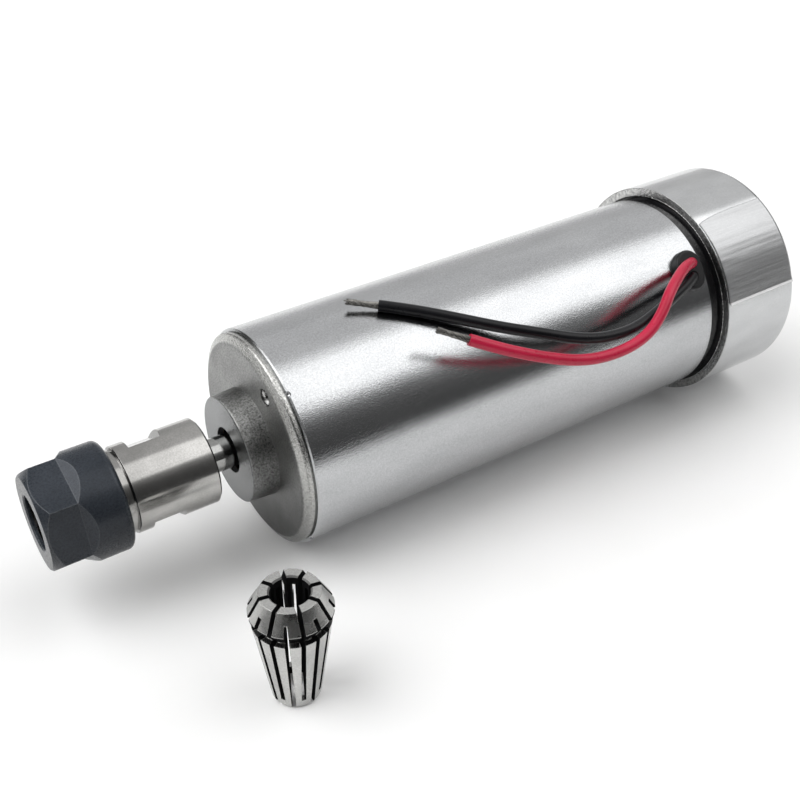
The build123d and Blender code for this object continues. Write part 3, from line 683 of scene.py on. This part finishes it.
def enamelled_wire():
    """Wound enamelled copper under varnish."""
    look = Shader("enamelled_wire")
    turns = look.node("ShaderNodeTexWave")
    turns.bands_direction = "DIAGONAL"
    turns.inputs["Scale"].default_value = 420
    turns.inputs["Distortion"].default_value = 3
    turns.inputs["Detail"].default_value = 2
    look.join(look.place, turns.inputs["Vector"])
    colour = look.colours(turns.outputs["Fac"], (0.20, 0.07, 0.03), (0.62, 0.27, 0.12))
    normal = look.bump(turns.outputs["Fac"], 0.3 * MM, 0.8)
    cloud = look.noise(look.place, 200, 3)
    return look.finish(colour, look.ranged(cloud, 0.28, 0.42), normal, Metallic=0.6)


def ground_collet():
    """Ground steel on the collet's cones and face, black inside its bore, groove and slits."""
    look = Shader("ground_collet")
    upright = look.node("ShaderNodeMapping")
    upright.vector_type = "TEXTURE"
    upright.inputs["Location"].default_value = (*COLLET_PLACE, floor_height(COLLET_PLACE[0]))
    upright.inputs["Rotation"].default_value = (0, math.atan(FLOOR_SLOPE), 0)
    look.join(look.place, upright.inputs["Vector"])
    place = look.parts(upright.outputs["Vector"])
    facing = look.parts(look.node("ShaderNodeTexCoord").outputs["Normal"])
    out = look.radius(upright.outputs["Vector"], "X", "Y")
    outward = look.math("MULTIPLY", place["X"], facing["X"])
    outward = look.math("ADD", outward, look.math("MULTIPLY", place["Y"], facing["Y"]))
    sideways = look.math("MULTIPLY", place["X"], facing["Y"])
    sideways = look.math("SUBTRACT", sideways, look.math("MULTIPLY", place["Y"], facing["X"]))
    inside = look.ranged(look.math("DIVIDE", outward, out), 1, 0, -0.8, -0.5)
    slit = look.ranged(look.math("ABSOLUTE", look.math("DIVIDE", sideways, out), 0), 0, 1, 0.5, 0.7)
    above = look.math("GREATER_THAN", place["Z"], COLLET_GROOVE[0])
    groove = look.math("MULTIPLY", above, look.math("LESS_THAN", place["Z"], COLLET_GROOVE[1]))
    black = look.math("MAXIMUM", look.math("MAXIMUM", inside, slit), groove)
    rings = look.node("ShaderNodeCombineXYZ")
    look.join(look.math("MULTIPLY", place["Z"], 9000), rings.inputs["X"])
    look.join(look.math("MULTIPLY", out, 9000), rings.inputs["Y"])
    lines = look.noise(rings.outputs[0], 1.0, 3)
    cloud = look.noise(look.place, 220, 3)
    colour = look.colours(look.ranged(cloud, 0, 1), (0.46, 0.46, 0.45), (0.56, 0.56, 0.545))
    colour = look.darkened(colour, look.speckled(2600, 0.10))
    colour = look.colours(black, colour, (0.012, 0.012, 0.013))
    normal = look.bump(lines, 0.02 * MM, 0.3, look.rounded(0.12 * MM))
    look.join(look.blended(black, 1.0, 0.0), look.base.inputs["Metallic"])
    look.join(look.blended(black, 0.5, 0.03), look.base.inputs["Specular IOR Level"])
    return look.finish(colour, look.blended(black, look.ranged(cloud, 0.20, 0.32), 0.8), normal)


# Metals: dark and light colour, lowest and highest roughness, and the grinding lines' strength
METALS = {
    "ground_holder": ((0.38, 0.375, 0.362), (0.47, 0.462, 0.448), 0.11, 0.20, 0.06),
    "ground_shaft": ((0.28, 0.28, 0.275), (0.37, 0.37, 0.36), 0.07, 0.13, 0.06),
    "ring_steel": ((0.42, 0.42, 0.43), (0.55, 0.55, 0.56), 0.25, 0.35, 0.12),
    "bearing_steel": ((0.60, 0.61, 0.63), (0.70, 0.71, 0.73), 0.12, 0.2, 0.12),
    "bearing_balls": ((0.74, 0.75, 0.77), (0.80, 0.81, 0.83), 0.05, 0.09, 0.02),
    "pressed_cage": ((0.50, 0.36, 0.16), (0.62, 0.46, 0.22), 0.28, 0.4, 0.12),
    "spring_steel": ((0.26, 0.26, 0.28), (0.38, 0.38, 0.40), 0.25, 0.38, 0.12),
    "copper_bars": ((0.56, 0.28, 0.17), (0.72, 0.40, 0.26), 0.25, 0.38, 0.3),
    "brass_guides": ((0.60, 0.44, 0.18), (0.74, 0.57, 0.27), 0.25, 0.36, 0.12),
    "zinc_bolts": ((0.56, 0.56, 0.54), (0.68, 0.68, 0.65), 0.28, 0.4, 0.12),
    "turned_spacer": ((0.60, 0.61, 0.62), (0.70, 0.71, 0.72), 0.25, 0.36, 0.3),
    "black_screws": ((0.028, 0.029, 0.032), (0.055, 0.056, 0.06), 0.3, 0.42, 0.12),
    "tinned_strands": ((0.10, 0.098, 0.092), (0.26, 0.252, 0.236), 0.20, 0.32, 0.12),
    "cut_thread": ((0.50, 0.50, 0.49), (0.66, 0.66, 0.65), 0.18, 0.32, 0.12),
}
# Plastics: dark and light colour, lowest and highest roughness, then grain size and depth in
# millimetres, the rounding of edges in millimetres and the shine
PLASTICS = {
    "ferrite": ((0.035, 0.035, 0.038), (0.06, 0.06, 0.064), 0.6, 0.75),
    "carbon": ((0.03, 0.03, 0.032), (0.05, 0.05, 0.053), 0.45, 0.6),
    "moulded_hub": ((0.07, 0.035, 0.02), (0.11, 0.06, 0.035), 0.4, 0.5),
    "moulded_caps": ((0.02, 0.02, 0.02), (0.03, 0.03, 0.03), 0.4, 0.5),
    "black_bell": ((0.006, 0.006, 0.007), (0.012, 0.012, 0.013), 0.12, 0.2, 500, 0.02),
    "fan_plastic": ((0.018, 0.018, 0.02), (0.03, 0.03, 0.033), 0.35, 0.48),
    "black_rubber": ((0.006, 0.006, 0.007), (0.012, 0.012, 0.013), 0.3, 0.44, 1600, 0.04, 0.15, 0.3),
    "red_insulation": ((0.50, 0.012, 0.048), (0.60, 0.02, 0.068), 0.26, 0.36, 1100, 0.03, 0.1, 0.35),
    "black_insulation": ((0.005, 0.005, 0.006), (0.009, 0.009, 0.011), 0.26, 0.36, 1100, 0.03, 0.1, 0.25),
}
MATERIALS = {
    "plated_tube": plated_tube(),
    "chromed_cup": chromed_cup(),
    "cup_film": cup_film_finish(),
    "torn_metal": torn_metal(),
    "cast_plate": cast_plate(),
    "ground_collet": ground_collet(),
    "black_nut": black_nut(),
    "laminations": laminations(),
    "enamelled_wire": enamelled_wire(),
}
for name, values in METALS.items():
    MATERIALS[name] = ground_metal(name, *values)
for name, values in PLASTICS.items():
    MATERIALS[name] = plastic(name, *values)

for entry in frame["record"]["subparts"]:
    for holder in nodes[entry["node"]].material_slots:
        holder.material = MATERIALS[entry["material_slot"]]
for piece, name in (
    (red_lead, "red_insulation"),
    (black_lead, "black_insulation"),
    (red_strands, "tinned_strands"),
    (black_strands, "tinned_strands"),
    (film, "cup_film"),
    *((burr, "torn_metal") for burr in burrs),
    *((thread, "cut_thread") for thread in threads),
):
    piece.data.materials.append(MATERIALS[name])
for spring in springs:
    for holder in spring.material_slots:
        holder.material = MATERIALS["spring_steel"]

# Floor through the tube's lowest front edge and the cup's lowest rim, like a table that ends in front
FLOOR_SIZE = 4.0
FLOOR_FRONT = 0.32
FLOOR_GAP = 0.05 * MM
FLOOR_GLOW = 0.06
floor_mesh = bpy.data.meshes.new("floor")
corners = []
for x, y in ((-1, -1), (1, -1), (1, 1), (-1, 1)):
    across = x * FLOOR_SIZE
    depth = FLOOR_SIZE if y > 0 else -FLOOR_FRONT
    corners.append((across, depth, floor_height(across) - FLOOR_GAP))
floor_mesh.from_pydata(corners, [], [(0, 1, 2, 3)])
floor = link(bpy.data.objects.new("floor", floor_mesh))

floor_look = Shader("floor")
paper = floor_look.noise(floor_look.place, 40, 3)
floor_look.finish(
    floor_look.colours(floor_look.ranged(paper, 0, 1), (0.93, 0.93, 0.925), (0.95, 0.95, 0.948)),
    floor_look.ranged(paper, 0.75, 0.9),
    None,
    Specular_IOR_Level=0.1,
)
rays = floor_look.node("ShaderNodeLightPath").outputs
shown = floor_look.math("MAXIMUM", rays["Is Camera Ray"], rays["Is Glossy Ray"])
shown = floor_look.math("MAXIMUM", shown, rays["Is Transmission Ray"])
glow = floor_look.node("ShaderNodeEmission")
floor_look.join(floor_look.math("MULTIPLY", shown, FLOOR_GLOW), glow.inputs["Strength"])
total = floor_look.node("ShaderNodeAddShader")
floor_look.join(floor_look.base.outputs[0], total.inputs[0])
floor_look.join(glow.outputs[0], total.inputs[1])
floor_look.join(total.outputs[0], floor_look.tree.nodes["Material Output"].inputs["Surface"])
floor_mesh.materials.append(floor_look.material)

# Studio: a window overhead, a soft lamp above and beyond the nut, and a dark side behind the camera.
# BANDS holds angles round the spindle axis, each with the light's level there.
BANDS = [
    (-180, 0.64),
    (-96, 0.76),
    (-84, 0.704),
    (-72, 0.688),
    (-52, 0.816),
    (-22, 0.848),
    (-11, 0.92),
    (-5, 1.92),
    (8, 2.08),
    (36, 2.08),
    (42, 0.88),
    (48, 0.416),
    (58, 0.2),
    (68, 0.128),
    (90, 0.112),
    (96, 0.16),
    (120, 0.48),
    (180, 0.64),
]
TOP = 2.4
ROOM = 0.24
ROOM_ENDS = (0.70, 0.96)
LEFT_SIDE = 0.12
LEFT_FADE = (0.02, 0.33)
LAMP_DIRECTION = Vector((-0.54, 0.25, 0.80)).normalized()
LAMP_LEVEL = 3.12
LAMP_FADE = (0.79, 0.96)

world = bpy.data.worlds.new("studio")
world.use_nodes = True
bpy.context.scene.world = world
world.node_tree.nodes.clear()
studio = Nodes(world.node_tree)
direction = studio.node("ShaderNodeTexCoord").outputs["Generated"]
parts = studio.parts(direction)
angle = studio.math("ARCTAN2", studio.math("MULTIPLY", parts["Y"], -1), parts["Z"])
ramp = studio.node("ShaderNodeFloatCurve")
studio.join(studio.ranged(angle, 0, 1, -math.pi, math.pi), ramp.inputs["Value"])
line = ramp.mapping.curves[0]
spots = [((degrees + 180) / 360, level / TOP) for degrees, level in BANDS]
line.points[0].location = spots[0]
line.points[-1].location = spots[-1]
for spot in spots[1:-1]:
    line.points.new(*spot)
ramp.mapping.update()
ends = studio.ranged(studio.math("ABSOLUTE", parts["X"], 0), 0, 1, *ROOM_ENDS, "SMOOTHSTEP")
left = studio.ranged(parts["X"], LEFT_SIDE, 1, *LEFT_FADE, "SMOOTHSTEP")
window = studio.math("MULTIPLY", studio.math("MULTIPLY", ramp.outputs[0], TOP), left)
towards = studio.node("ShaderNodeVectorMath")
towards.operation = "DOT_PRODUCT"
towards.inputs[1].default_value = LAMP_DIRECTION
studio.join(direction, towards.inputs[0])
lamp = studio.ranged(towards.outputs["Value"], 0, LAMP_LEVEL, *LAMP_FADE, "SMOOTHSTEP")
lit = studio.math("ADD", studio.blended(ends, window, ROOM), lamp)
seen = studio.node("ShaderNodeLightPath").outputs["Is Camera Ray"]
light = studio.node("ShaderNodeBackground")
light.inputs["Color"].default_value = (1, 1, 1, 1)
studio.join(studio.blended(seen, lit, 1.0), light.inputs["Strength"])
output = studio.node("ShaderNodeOutputWorld")
studio.join(light.outputs[0], output.inputs["Surface"])

bpy.context.scene.view_settings.view_transform = "Standard"

bpy.context.view_layer.update()
